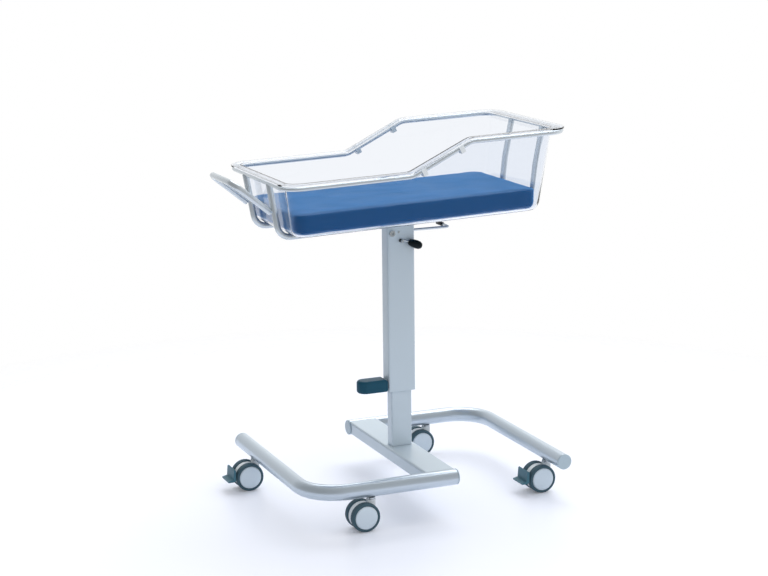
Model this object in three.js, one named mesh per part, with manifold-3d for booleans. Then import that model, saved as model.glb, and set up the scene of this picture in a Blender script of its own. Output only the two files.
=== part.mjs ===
// Hospital bassinet: clear tub on a tilting tube frame, telescopic column, rolling base.
// Millimetres, +Z up, floor at z = 0, +X towards the head end, column axis near the middle.
import * as THREE from 'three';
import { mergeVertices, toCreasedNormals } from 'three/addons/utils/BufferGeometryUtils.js';
import Module from 'manifold-3d';

const wasm = await Module();
wasm.setup();

// Clearances
const WELD_GAP = 0.3;
const RUNNING_GAP = 0.4;

// Rolling base
const FOOT_TUBE_DIAMETER = 41;
const FOOT_TUBE_WALL = 2.5;
const FOOT_TUBE_AXIS_Z = 103.5;
const FOOT_TUBE_Y = 264;
const LEG_X = 349;
const LEG_END_Y = 274;
const SHORT_END_X = 44;
const FOOT_BEND_RADIUS = 95;
const CAP_DISC = 4;
const CAP_SPIGOT = 14;
const CAP_SPIGOT_GAP = 0.8;
const CAP_ROUNDING = 2;
const BEAM_WIDTH = 81;
const BEAM_HEIGHT = 35.5;
const BEAM_WALL = 3;
const BEAM_TOP_Z = 122.8;
const BEAM_CORNER = 4;
const BEAM_INNER_CORNER = 1.5;
const BEAM_SEAM_DROP = 4.5;
const BEAM_SEAM = 1.2;

// Casters
const WHEEL_DIAMETER = 75;
const WHEEL_WIDTH = 20;
const WHEEL_CENTRES = 37;
const TYRE_DEPTH = 7;
const TYRE_ROUNDING = 3;
const DISC_BEVEL = 3;
const DISC_CROWN = 14;
const DISC_EDGE = 1;
const AXLE_DIAMETER = 8;
const CASTER_TRAIL = 23;
const HOOD_RADIUS = 35;
const HOOD_THICKNESS = 16;
const HOOD_TOP_Z = 78;
const HOOD_POST_BACK = 10;
const HOOD_POST_FRONT = 9;
const HOOD_CROWN = 3;
const HOOD_CROWN_DIAMETER = 24;
const AXLE_REACH = 8.5;
const STEM_DIAMETER = 9;
const STEM_COLLAR = 22;
const STEM_BOTTOM_Z = 34;
const STEM_TOP_Z = 96;
const FRONT_CASTER_X = 194;
const LEG_CASTER_Y = 170;
const BRAKE_HUB_DIAMETER = 14;
const BRAKE_HUB_X = -22;
const BRAKE_HUB_Z = 41;
const BRAKE_WIDTH = 54;
const BRAKE_ARM = 6;
const BRAKE_SLOT = 13;
const BRAKE_TYRE_GAP = 2.5;
const BRAKE_PLATE = 6;
const BRAKE_TOP_Z = 64;
const BRAKE_TOE_Z = 30;
const BRAKE_TOE_REACH = 21.5;
const BRAKE_ROUNDING = 2;

// Telescopic column
const OUTER_COLUMN_X = 77;
const OUTER_COLUMN_Y = 41;
const OUTER_COLUMN_WALL = 3;
const OUTER_COLUMN_BOTTOM_Z = 273.2;
const OUTER_COLUMN_TOP_Z = 715;
const INNER_COLUMN_X = 58;
const INNER_COLUMN_Y = 31;
const INNER_COLUMN_WALL = 2.5;
const INNER_COLUMN_TOP_Z = 495;
const COLUMN_CORNER = 5;
const LEAST_CORNER = 0.8;
const COLUMN_INNER_CORNER = 4;
const GLIDE_CORNER = 1.5;
const GLIDE_HEIGHT = 30;
const GLIDE_INSET = 1;
const SPRING_CYLINDER_DIAMETER = 22;
const SPRING_BORE = 17;
const SPRING_CYLINDER_TOP_Z = 430;
const SPRING_ROD_DIAMETER = 8;
const SPRING_ROD_BOTTOM_Z = 300;
const SPRING_PLATE_Z = 641;
const SPRING_PLATE_THICKNESS = 5;
const SPRING_PLATE_CORNER = 2;
const SPRING_FLOOR = 6;
const SPRING_GLAND = 8;
const SPRING_PISTON = 10;

// Height pedal at the foot of the outer column
const PEDAL_TIP_X = -120;
const PEDAL_HEEL_X = -42;
const PEDAL_WIDTH = 46;
const PEDAL_BOTTOM_Z = 275;
const PEDAL_TOP_Z = 309;
const PEDAL_ROUNDING = 7;
const PEDAL_PIN_X = -52;
const PEDAL_PIN_Z = 293;
const PEDAL_PIN_DIAMETER = 8;
const PEDAL_PIN_COVER = 3;
const PEDAL_LUG_WIDTH = 12;
const PEDAL_LUG_NOSE = 7;
const PEDAL_SLOT_SPACE = 3;
const PEDAL_SKIN = 5;

// Tilt joint at the top of the column
const PIVOT_X = -26;
const PIVOT_Z = 697.5;
const PIVOT_DIAMETER = 10;
const PIVOT_HEAD = 16;
const PIVOT_HEAD_HEIGHT = 6;
const PIVOT_SOCKET = 7;
const PIVOT_SOCKET_DEPTH = 3;
const STOP_SCREW_X = -6.6;
const STOP_SCREW_Z = 699.5;
const STOP_SCREW_DIAMETER = 5.5;
const STOP_SCREW_HEIGHT = 2;
const CLAMP_X = -1.6;
const CLAMP_Z = 677;
const CLAMP_DIAMETER = 8;
const CLAMP_NECK = 6;
const CLAMP_NUT = 15;
const CLAMP_NUT_HEIGHT = 5;
const HUB_DIAMETER = 8.5;
const HUB_LENGTH = 6;
const LEVER_DROP_DEGREES = -22;
const LEVER_STANDOFF = 13;
const LEVER_RISE = 4.5;
const LEVER_DIAMETER = 5;
const KNOB_START = 17;
const KNOB_LENGTH = 42;
const KNOB_DIAMETER = 22.5;
const KNOB_BORE_DEPTH = 12;
const SADDLE_THICKNESS = 6;
const SADDLE_FOOT = 30;
const SADDLE_HEAD = 62;
const TONGUE_THICKNESS = 24;
const TONGUE_EYE = 8.5;
const TONGUE_TAIL = 20;
const SLOT_FROM_DEGREES = -18;
const SLOT_SWEEP_DEGREES = 40;
const SLOT_STEPS = 12;
const HOOK_ROD_DIAMETER = 7;
const HOOK_ROD_Z = 698;
const HOOK_ROD_X = 146;
const HOOK_RETURN_Y = 60;
const HOOK_BEND_RADIUS = 9;
const HOOK_BOSS_DIAMETER = 15;
const HOOK_BOSS_LENGTH = 4;
const HOOK_END_DIAMETER = 11;
const HOOK_END_LENGTH = 36;
const HOOK_END_LAP = 22;

// Basin frame, drawn level and then tipped head-up as it stands
const BASIN_TILT_DEGREES = 1.84;
const BASIN_TILT_CENTRE_Z = 700;
const CRADLE_TUBE_DIAMETER = 16;
const CRADLE_TUBE_WALL = 1.5;
const CRADLE_Y = 88;
const CRADLE_RUN_Z = 736;
const CRADLE_BEND_RADIUS = 34;
const CRADLE_KINK_RADIUS = 90;
const CRADLE_FOOT_SETBACK = -0.2;
const CRADLE_FOOT_BEND_X = -357;
const CRADLE_HEAD_BEND_X = 344;
const CRADLE_HEAD_KINK_X = 361;
const CRADLE_HEAD_KINK_DROP = 97;
const CRADLE_HEAD_SETBACK = 2.8;
const CRADLE_END_LAP = 4;
const RAIL_DIAMETER = 12;
const RAIL_FOOT_X = -377;
const RAIL_KINK_LOW_X = -46;
const RAIL_KINK_HIGH_X = 115;
const RAIL_HEAD_X = 387;
const RAIL_Y = 217.5;
const RAIL_LOW_Z = 876;
const RAIL_HIGH_Z = 949;
const RAIL_CORNER_RADIUS = 48;
const RAIL_KINK_RADIUS = 45;
const HANDLE_DIAMETER = 16;
const HANDLE_GRIP_X = -470;
const HANDLE_GRIP_Z = 884;
const HANDLE_JOIN_X = -368;
const HANDLE_JOIN_Z = 795;
const HANDLE_CORNER_RADIUS = 24;
const HANDLE_START = 9;
const CLIP_LENGTH = 13;
const CLIP_WIDTH = 18;
const CLIP_DROP = 7;
const CLIP_LIP = 1;
const CLIP_FROM_LOW_KINK = 28;
const CLIP_FROM_HIGH_KINK = 29;

// Tub and mattress
const TUB_FLOOR_Z = 744.3;
const TUB_WALL = 4;
const TUB_MOUTH_RISE = 11;
const TUB_FLOOR = { foot: -346, head: 328, side: 182, corner: 34 };
const TUB_BOTTOM_ROUNDING = 20;
const TUB_MOUTH = { foot: -375, head: 362, side: 208, corner: 40 };
const FLANGE_THICKNESS = 4;
const FLANGE_OVERHANG = 8;
const MATTRESS_TOP_Z = 804;
const MATTRESS_SIDE_GAP = 1;
const MATTRESS_TOP_ROUNDING = 4;
const MATTRESS_BOTTOM_ROUNDING = 17;

// Fineness of round shapes
const ROUND_STEPS = 26;
const WHEEL_STEPS = 32;
const TUBE_STEPS = 16;
const BEND_STEPS = 6;
const EDGE_STEPS = 3;
const CORNER_STEPS = 9;

const part = new THREE.Group();
part.name = 'hospital_bassinet';

// Surface colours
const SILVER_PAINT = { color: 0xb9c2ca, roughness: 0.35, metalness: 0.6 };
const BRIGHT_STEEL = { color: 0xc9ced2, roughness: 0.25, metalness: 0.95 };
const DARK_STEEL = { color: 0x5a5f63, roughness: 0.45, metalness: 0.8 };
const BLACK_PLASTIC = { color: 0x14181a, roughness: 0.5, metalness: 0 };
const PALE_PLASTIC = { color: 0xb4bfc8, roughness: 0.4, metalness: 0 };
const WHITE_PLASTIC = { color: 0xe6eaec, roughness: 0.35, metalness: 0 };
const TYRE_RUBBER = { color: 0x45555d, roughness: 0.7, metalness: 0 };
const TEAL_PLASTIC = { color: 0x2c4a52, roughness: 0.5, metalness: 0 };
const BLUE_VINYL = { color: 0x2f6299, roughness: 0.5, metalness: 0 };
const CLEAR_ACRYLIC = { color: 0xeef4f8, roughness: 0.08, metalness: 0, transparent: true, opacity: 0.25 };

// Adds one named piece
function addPiece(name, geometry, surface) {
  const mesh = new THREE.Mesh(toCreasedNormals(geometry, 0.6), new THREE.MeshStandardMaterial(surface));
  mesh.name = name;
  part.add(mesh);
}

// A closed mesh as a solid for cutting and joining
function solidOf(geometry) {
  const bare = geometry.clone();
  bare.deleteAttribute('normal');
  bare.deleteAttribute('uv');
  const welded = mergeVertices(bare, 1e-4);
  return new wasm.Manifold(new wasm.Mesh({
    numProp: 3,
    vertProperties: new Float32Array(welded.attributes.position.array),
    triVerts: new Uint32Array(welded.index.array),
  }));
}

// A solid back as a mesh
function meshOf(solid) {
  const mesh = solid.getMesh();
  const geometry = new THREE.BufferGeometry();
  geometry.setAttribute('position', new THREE.BufferAttribute(new Float32Array(mesh.vertProperties), 3));
  geometry.setIndex(new THREE.BufferAttribute(new Uint32Array(mesh.triVerts), 1));
  return geometry;
}

// Joins the first shape with the others, then cuts the last list away
function shaped(joined, cut = []) {
  let solid = solidOf(joined[0]);
  for (const geometry of joined.slice(1)) {
    solid = solid.add(solidOf(geometry));
  }
  for (const geometry of cut) {
    solid = solid.subtract(solidOf(geometry));
  }
  return meshOf(solid);
}

// Upright round bar between two heights
function uprightBar(x, y, bottom, top, diameter, steps = ROUND_STEPS) {
  const geometry = new THREE.CylinderGeometry(diameter / 2, diameter / 2, top - bottom, steps);
  geometry.rotateX(Math.PI / 2);
  return geometry.translate(x, y, (bottom + top) / 2);
}

// Round bar along Y between two stations
function crossBar(x, z, near, far, diameter, steps = ROUND_STEPS) {
  const geometry = new THREE.CylinderGeometry(diameter / 2, diameter / 2, far - near, steps);
  return geometry.translate(x, (near + far) / 2, z);
}

// Round bar along X between two stations
function lengthBar(y, z, left, right, diameter, steps = ROUND_STEPS) {
  const geometry = new THREE.CylinderGeometry(diameter / 2, diameter / 2, right - left, steps);
  geometry.rotateZ(-Math.PI / 2);
  return geometry.translate((left + right) / 2, y, z);
}

// Plain block between two corners
function block(low, high) {
  const geometry = new THREE.BoxGeometry(high[0] - low[0], high[1] - low[1], high[2] - low[2]);
  return geometry.translate((low[0] + high[0]) / 2, (low[1] + high[1]) / 2, (low[2] + high[2]) / 2);
}

// Outline in X and Z pushed out along Y, centred on y = 0
function sidePrism(points, width) {
  const shape = new THREE.Shape(points.map(([x, z]) => new THREE.Vector2(x, z)));
  const geometry = new THREE.ExtrudeGeometry(shape, { depth: width, bevelEnabled: false });
  geometry.rotateX(Math.PI / 2);
  return geometry.translate(0, width / 2, 0);
}

// Rounded rectangle as a list of points, counter-clockwise
function roundedOutline(left, right, side, corner, steps = 6) {
  const points = [];
  const centres = [
    [right - corner, side - corner, 0],
    [left + corner, side - corner, 1],
    [left + corner, -side + corner, 2],
    [right - corner, -side + corner, 3],
  ];
  for (const [x, y, quarter] of centres) {
    for (let i = 0; i <= steps; i += 1) {
      const angle = (quarter + i / steps) * Math.PI / 2;
      points.push([x + corner * Math.cos(angle), y + corner * Math.sin(angle)]);
    }
  }
  return points;
}

// Rounded rectangular block between two heights
function roundedBlock(width, depth, corner, bottom, top, steps = 3) {
  const outline = roundedOutline(-width / 2, width / 2, depth / 2, corner, steps);
  const shape = new THREE.Shape(outline.map(([x, y]) => new THREE.Vector2(x, y)));
  const geometry = new THREE.ExtrudeGeometry(shape, { depth: top - bottom, bevelEnabled: false });
  return geometry.translate(0, 0, bottom);
}

// Rectangular hollow section standing upright
function hollowSection(width, depth, wall, corner, bottom, top) {
  const innerCorner = Math.max(corner - wall, LEAST_CORNER);
  const inside = roundedBlock(width - 2 * wall, depth - 2 * wall, innerCorner, bottom - 1, top + 1);
  return shaped([roundedBlock(width, depth, corner, bottom, top)], [inside]);
}

// Skin between rings of equal point counts, closed at both ends
function loft(rings) {
  const count = rings[0].length;
  const positions = rings.flat().flat();
  const index = [];
  for (let r = 0; r + 1 < rings.length; r += 1) {
    for (let i = 0; i < count; i += 1) {
      const a = r * count + i;
      const b = r * count + (i + 1) % count;
      index.push(a, b, b + count, a, b + count, a + count);
    }
  }
  const last = (rings.length - 1) * count;
  for (let i = 1; i + 1 < count; i += 1) {
    index.push(0, i + 1, i, last, last + i, last + i + 1);
  }
  const geometry = new THREE.BufferGeometry();
  geometry.setAttribute('position', new THREE.Float32BufferAttribute(positions, 3));
  geometry.setIndex(index);
  return geometry;
}

// Corner points of a bar turned into stations with rounded bends
function bendPath(corners, radius, closed = false) {
  const points = corners.map((corner) => new THREE.Vector3(...corner));
  const count = points.length;
  const stations = [];
  for (let i = 0; i < count; i += 1) {
    const here = points[i];
    if (!closed && (i === 0 || i === count - 1)) {
      stations.push(here);
      continue;
    }
    const back = points[(i + count - 1) % count].clone().sub(here).normalize();
    const ahead = points[(i + 1) % count].clone().sub(here).normalize();
    const half = back.angleTo(ahead) / 2;
    const bend = Array.isArray(radius) ? radius[i] : radius;
    const centre = back.clone().add(ahead).normalize().multiplyScalar(bend / Math.sin(half)).add(here);
    const start = back.multiplyScalar(bend / Math.tan(half)).add(here).sub(centre);
    const end = ahead.multiplyScalar(bend / Math.tan(half)).add(here).sub(centre);
    const sweep = start.angleTo(end);
    const steps = Math.max(3, Math.round(BEND_STEPS * sweep / (Math.PI / 2)));
    for (let k = 0; k <= steps; k += 1) {
      const early = start.clone().multiplyScalar(Math.sin((1 - k / steps) * sweep));
      const late = end.clone().multiplyScalar(Math.sin(k / steps * sweep));
      stations.push(early.add(late).divideScalar(Math.sin(sweep)).add(centre));
    }
  }
  return stations;
}

// Round bar or hollow tube along stations; the side direction keeps the section from twisting
function bentTube(stations, sideDirection, diameter, wall = 0, closed = false) {
  const count = stations.length;
  const rings = [];
  const ring = (index, radius) => {
    const before = closed ? stations[(index + count - 1) % count] : stations[Math.max(index - 1, 0)];
    const after = closed ? stations[(index + 1) % count] : stations[Math.min(index + 1, count - 1)];
    const incoming = stations[index].clone().sub(before).normalize();
    const outgoing = after.clone().sub(stations[index]).normalize();
    const along = incoming.add(outgoing).normalize();
    const side = new THREE.Vector3(...sideDirection).cross(along).normalize();
    const over = along.clone().cross(side);
    const points = [];
    for (let k = 0; k < TUBE_STEPS; k += 1) {
      const angle = k / TUBE_STEPS * Math.PI * 2;
      const spoke = side.clone().multiplyScalar(radius * Math.cos(angle));
      spoke.addScaledVector(over, radius * Math.sin(angle));
      points.push(spoke.add(stations[index]).toArray());
    }
    return points;
  };
  for (let i = 0; i < count; i += 1) {
    rings.push(ring(i, diameter / 2));
  }
  if (wall > 0) {
    for (let i = count - 1; i >= 0; i -= 1) {
      rings.push(ring(i, diameter / 2 - wall));
    }
  }
  if (wall === 0 && !closed) {
    return loft(rings);
  }
  const positions = rings.flat().flat();
  const index = [];
  for (let r = 0; r < rings.length; r += 1) {
    const next = (r + 1) % rings.length;
    for (let k = 0; k < TUBE_STEPS; k += 1) {
      const a = r * TUBE_STEPS + k;
      const b = r * TUBE_STEPS + (k + 1) % TUBE_STEPS;
      const c = next * TUBE_STEPS + (k + 1) % TUBE_STEPS;
      const d = next * TUBE_STEPS + k;
      index.push(a, b, c, a, c, d);
    }
  }
  const geometry = new THREE.BufferGeometry();
  geometry.setAttribute('position', new THREE.Float32BufferAttribute(positions, 3));
  geometry.setIndex(index);
  return geometry;
}

// Everything on the basin leans head-up by the same small angle
function tipped(geometry) {
  geometry.translate(0, 0, -BASIN_TILT_CENTRE_Z);
  geometry.rotateY(-BASIN_TILT_DEGREES * Math.PI / 180);
  return geometry.translate(0, 0, BASIN_TILT_CENTRE_Z);
}

// Half-turn about the column: the rear half of the base repeats the front half
function halfTurn(geometry) {
  return geometry.rotateZ(Math.PI);
}

// Base tubes: each is one short run, one bend and one long leg
function footTube() {
  const axis = bendPath([
    [SHORT_END_X - CAP_DISC - WELD_GAP, -FOOT_TUBE_Y, FOOT_TUBE_AXIS_Z],
    [-LEG_X, -FOOT_TUBE_Y, FOOT_TUBE_AXIS_Z],
    [-LEG_X, LEG_END_Y - CAP_DISC - WELD_GAP, FOOT_TUBE_AXIS_Z],
  ], FOOT_BEND_RADIUS);
  const tube = bentTube(axis, [0, 0, 1], FOOT_TUBE_DIAMETER, FOOT_TUBE_WALL);
  const stemHole = STEM_DIAMETER + 2 * WELD_GAP;
  const holes = [
    uprightBar(-FRONT_CASTER_X, -FOOT_TUBE_Y, HOOD_TOP_Z, FOOT_TUBE_AXIS_Z, stemHole, 20),
    uprightBar(-LEG_X, LEG_CASTER_Y, HOOD_TOP_Z, FOOT_TUBE_AXIS_Z, stemHole, 20),
  ];
  return shaped([tube], holes);
}

// End cap with a spigot, turned about Y with its face towards -Y
function footCap() {
  const face = FOOT_TUBE_DIAMETER / 2;
  const spigot = face - FOOT_TUBE_WALL - CAP_SPIGOT_GAP;
  const soft = CAP_ROUNDING;
  const profile = [[0, 0], [face - soft, 0], [face - 0.3 * soft, 0.3 * soft], [face, soft], [face, CAP_DISC],
    [spigot, CAP_DISC], [spigot, CAP_DISC + CAP_SPIGOT], [0, CAP_DISC + CAP_SPIGOT]];
  return new THREE.LatheGeometry(profile.map(([r, y]) => new THREE.Vector2(r, y)), ROUND_STEPS);
}

// Flat box beam between the two foot tubes, coped to their round sides
function crossBeam() {
  const bottom = BEAM_TOP_Z - BEAM_HEIGHT;
  const half = BEAM_WIDTH / 2;
  const inside = half - BEAM_WALL;
  const outline = roundedOutline(-half, half, BEAM_HEIGHT / 2, BEAM_CORNER, 3);
  const inner = roundedOutline(-inside, inside, BEAM_HEIGHT / 2 - BEAM_WALL, BEAM_INNER_CORNER, 3);
  const middle = bottom + BEAM_HEIGHT / 2;
  const lift = (points) => points.map(([x, z]) => [x, z + middle]);
  const cope = FOOT_TUBE_DIAMETER + 2 * WELD_GAP;
  const seamTop = BEAM_TOP_Z - BEAM_SEAM_DROP;
  const seamLow = seamTop - BEAM_SEAM;
  const seam = (x) => block([x - BEAM_SEAM, -FOOT_TUBE_Y, seamLow], [x + BEAM_SEAM, FOOT_TUBE_Y, seamTop]);
  return shaped([sidePrism(lift(outline), 2 * FOOT_TUBE_Y)], [
    sidePrism(lift(inner), 2 * FOOT_TUBE_Y + 2),
    seam(-half),
    seam(half),
    lengthBar(-FOOT_TUBE_Y, FOOT_TUBE_AXIS_Z, -half - 1, half + 1, cope),
    lengthBar(FOOT_TUBE_Y, FOOT_TUBE_AXIS_Z, -half - 1, half + 1, cope),
  ]);
}

// Column pieces
function innerColumn() {
  return hollowSection(INNER_COLUMN_X, INNER_COLUMN_Y, INNER_COLUMN_WALL, COLUMN_INNER_CORNER,
    BEAM_TOP_Z + WELD_GAP, INNER_COLUMN_TOP_Z);
}

function glide(bottom, top) {
  const width = OUTER_COLUMN_X - 2 * OUTER_COLUMN_WALL - 2 * RUNNING_GAP;
  const depth = OUTER_COLUMN_Y - 2 * OUTER_COLUMN_WALL - 2 * RUNNING_GAP;
  const boreWidth = INNER_COLUMN_X + 2 * RUNNING_GAP;
  const boreDepth = INNER_COLUMN_Y + 2 * RUNNING_GAP;
  const bore = roundedBlock(boreWidth, boreDepth, COLUMN_INNER_CORNER, bottom - 1, top + 1);
  return shaped([roundedBlock(width, depth, GLIDE_CORNER, bottom, top)], [bore]);
}

function outerColumn() {
  const tube = hollowSection(OUTER_COLUMN_X, OUTER_COLUMN_Y, OUTER_COLUMN_WALL, COLUMN_CORNER,
    OUTER_COLUMN_BOTTOM_Z, OUTER_COLUMN_TOP_Z);
  const reach = OUTER_COLUMN_Y;
  return shaped([tube], [
    crossBar(PIVOT_X, PIVOT_Z, -reach, reach, PIVOT_DIAMETER + 2 * WELD_GAP, 20),
    crossBar(CLAMP_X, CLAMP_Z, -reach, reach, CLAMP_DIAMETER + 2 * RUNNING_GAP, 20),
  ]);
}

function springCylinder() {
  const bottom = BEAM_TOP_Z + WELD_GAP;
  const rodBore = SPRING_ROD_DIAMETER + 2 * RUNNING_GAP;
  return shaped([uprightBar(0, 0, bottom, SPRING_CYLINDER_TOP_Z, SPRING_CYLINDER_DIAMETER)], [
    uprightBar(0, 0, bottom + SPRING_FLOOR, SPRING_CYLINDER_TOP_Z - SPRING_GLAND, SPRING_BORE),
    uprightBar(0, 0, bottom + SPRING_FLOOR + 1, SPRING_CYLINDER_TOP_Z + 1, rodBore),
  ]);
}

function springRod() {
  const width = OUTER_COLUMN_X - 2 * OUTER_COLUMN_WALL - 2 * WELD_GAP;
  const depth = OUTER_COLUMN_Y - 2 * OUTER_COLUMN_WALL - 2 * WELD_GAP;
  const top = SPRING_PLATE_Z + SPRING_PLATE_THICKNESS;
  return shaped([
    roundedBlock(width, depth, SPRING_PLATE_CORNER, SPRING_PLATE_Z, top),
    uprightBar(0, 0, SPRING_ROD_BOTTOM_Z, SPRING_PLATE_Z + 1, SPRING_ROD_DIAMETER),
    uprightBar(0, 0, SPRING_ROD_BOTTOM_Z, SPRING_ROD_BOTTOM_Z + SPRING_PISTON, SPRING_BORE - 2 * RUNNING_GAP),
  ]);
}

// Height pedal: a soft-edged lozenge slotted over a lug on the column
function pedalLug() {
  const face = -OUTER_COLUMN_X / 2 - WELD_GAP;
  const eye = PEDAL_PIN_DIAMETER;
  const nose = PEDAL_PIN_X - PEDAL_LUG_NOSE;
  const lug = sidePrism([
    [face, PEDAL_PIN_Z - 1.75 * eye], [face, PEDAL_PIN_Z + 1.5 * eye], [PEDAL_PIN_X, PEDAL_PIN_Z + eye],
    [nose, PEDAL_PIN_Z + eye / 2], [nose, PEDAL_PIN_Z - eye / 2], [PEDAL_PIN_X, PEDAL_PIN_Z - eye],
  ], PEDAL_LUG_WIDTH);
  const reach = PEDAL_WIDTH / 2 - PEDAL_PIN_COVER;
  const pin = crossBar(PEDAL_PIN_X, PEDAL_PIN_Z, -reach, reach, PEDAL_PIN_DIAMETER, 20);
  return shaped([lug, pin]);
}

function heightPedal() {
  const half = PEDAL_WIDTH / 2 - PEDAL_ROUNDING;
  const shape = new THREE.Shape();
  const heel = PEDAL_HEEL_X - PEDAL_ROUNDING;
  const toe = PEDAL_TIP_X + PEDAL_WIDTH / 2;
  shape.moveTo(heel, -half);
  shape.lineTo(heel, half);
  shape.lineTo(toe, half);
  shape.absarc(toe, 0, half, Math.PI / 2, Math.PI * 1.5, false);
  shape.lineTo(heel, -half);
  const geometry = new THREE.ExtrudeGeometry(shape, {
    depth: PEDAL_TOP_Z - PEDAL_BOTTOM_Z - 2 * PEDAL_ROUNDING,
    bevelSize: PEDAL_ROUNDING,
    bevelThickness: PEDAL_ROUNDING,
    bevelSegments: 3,
    curveSegments: 12,
  });
  geometry.translate(0, 0, PEDAL_BOTTOM_Z + PEDAL_ROUNDING);
  const slot = PEDAL_LUG_WIDTH / 2 + RUNNING_GAP;
  const slotEnd = PEDAL_PIN_X - PEDAL_LUG_NOSE - PEDAL_SLOT_SPACE;
  const pinReach = PEDAL_WIDTH / 2 - PEDAL_PIN_COVER + RUNNING_GAP;
  return shaped([geometry], [
    block([slotEnd, -slot, PEDAL_BOTTOM_Z - 1], [PEDAL_HEEL_X + 1, slot, PEDAL_TOP_Z - PEDAL_SKIN]),
    crossBar(PEDAL_PIN_X, PEDAL_PIN_Z, -pinReach, pinReach, PEDAL_PIN_DIAMETER + 2 * RUNNING_GAP, 20),
  ]);
}

// Tilt joint
function pivotBolt() {
  const face = OUTER_COLUMN_Y / 2 + WELD_GAP;
  const end = face + PIVOT_HEAD_HEIGHT;
  return shaped([
    crossBar(PIVOT_X, PIVOT_Z, -end, end, PIVOT_DIAMETER, 20),
    crossBar(PIVOT_X, PIVOT_Z, -end, -face, PIVOT_HEAD, 24),
    crossBar(PIVOT_X, PIVOT_Z, face, end, PIVOT_HEAD, 6),
  ], [crossBar(PIVOT_X, PIVOT_Z, -end - 1, -end + PIVOT_SOCKET_DEPTH, PIVOT_SOCKET, 6)]);
}

// Small screw head beside the pivot
function stopScrew() {
  const face = -OUTER_COLUMN_Y / 2 - WELD_GAP;
  return crossBar(STOP_SCREW_X, STOP_SCREW_Z, face - STOP_SCREW_HEIGHT, face, STOP_SCREW_DIAMETER, 20);
}

// Turns a shape drawn along +X to the lie of the clamp lever
function alongLever(geometry) {
  geometry.rotateY(-LEVER_DROP_DEGREES * Math.PI / 180);
  return geometry.translate(CLAMP_X, -OUTER_COLUMN_Y / 2 - LEVER_STANDOFF, CLAMP_Z + LEVER_RISE);
}

// Lever and bolt in one: turning it presses the column walls on the tongue
function clampLever() {
  const face = OUTER_COLUMN_Y / 2 + RUNNING_GAP;
  const front = -OUTER_COLUMN_Y / 2 - LEVER_STANDOFF - LEVER_DIAMETER / 2;
  const arm = alongLever(lengthBar(0, 0, 0, KNOB_START + KNOB_BORE_DEPTH - WELD_GAP, LEVER_DIAMETER, 16));
  return shaped([
    crossBar(CLAMP_X, CLAMP_Z, -face + 1, face + CLAMP_NUT_HEIGHT, CLAMP_DIAMETER, 20),
    crossBar(CLAMP_X, CLAMP_Z, front, -face + 2, CLAMP_NECK, 20),
    crossBar(CLAMP_X, CLAMP_Z, face, face + CLAMP_NUT_HEIGHT, CLAMP_NUT, 24),
    arm,
  ]);
}

// Plastic sleeve round the neck of the clamp bolt
function clampHub() {
  const face = OUTER_COLUMN_Y / 2 + RUNNING_GAP;
  const sleeve = crossBar(CLAMP_X, CLAMP_Z, -face - HUB_LENGTH, -face, HUB_DIAMETER, 24);
  const neckHole = CLAMP_NECK + 2 * WELD_GAP;
  return shaped([sleeve], [crossBar(CLAMP_X, CLAMP_Z, -face - HUB_LENGTH - 1, -face + 1, neckHole, 20)]);
}

// Egg-shaped grip on the lever; the profile is in shares of its length and radius
function clampKnob() {
  const shares = [[0, 0], [0.4, 0.02], [0.7, 0.11], [0.91, 0.32], [1, 0.58], [0.93, 0.79], [0.66, 0.93],
    [0.26, 0.99], [0, 1]];
  const profile = shares.map(([r, y]) => new THREE.Vector2(r * KNOB_DIAMETER / 2, y * KNOB_LENGTH));
  const knob = new THREE.LatheGeometry(profile, 24);
  knob.rotateZ(-Math.PI / 2);
  knob.translate(KNOB_START, 0, 0);
  const leverHole = LEVER_DIAMETER + 2 * WELD_GAP;
  const bore = lengthBar(0, 0, KNOB_START - 1, KNOB_START + KNOB_BORE_DEPTH, leverHole, 16);
  return alongLever(shaped([knob], [bore]));
}

// Saddle plate between the cradle tubes with the tongue that hangs in the column
function tiltSaddle() {
  const inside = CRADLE_Y - CRADLE_TUBE_DIAMETER / 2 - WELD_GAP;
  const low = CRADLE_RUN_Z - SADDLE_THICKNESS / 2;
  const high = low + SADDLE_THICKNESS;
  const plate = block([PIVOT_X - SADDLE_FOOT, -inside, low], [PIVOT_X + SADDLE_HEAD, inside, high]);
  const eye = TONGUE_EYE;
  const tail = TONGUE_TAIL;
  const root = low + SADDLE_THICKNESS / 3;
  const tongue = sidePrism([
    [PIVOT_X + 0.7 * eye, root], [CLAMP_X + tail, root], [CLAMP_X + 1.2 * tail, CLAMP_Z + 1.15 * tail],
    [CLAMP_X + tail, CLAMP_Z - 0.45 * tail], [CLAMP_X + 0.23 * tail, CLAMP_Z - 0.95 * tail],
    [CLAMP_X - 0.47 * tail, CLAMP_Z - 0.75 * tail], [PIVOT_X - 0.1 * eye, PIVOT_Z - eye],
    [PIVOT_X - 0.8 * eye, PIVOT_Z - 0.6 * eye], [PIVOT_X - eye, PIVOT_Z],
    [PIVOT_X - 0.8 * eye, PIVOT_Z + 0.6 * eye], [PIVOT_X, PIVOT_Z + eye],
  ], TONGUE_THICKNESS);
  const reach = TONGUE_THICKNESS;
  const bore = crossBar(PIVOT_X, PIVOT_Z, -reach, reach, PIVOT_DIAMETER + 2 * RUNNING_GAP, 24);
  return shaped([tipped(plate), tongue], [bore, sidePrism(clampSlot(), 2 * reach)]);
}

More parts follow.
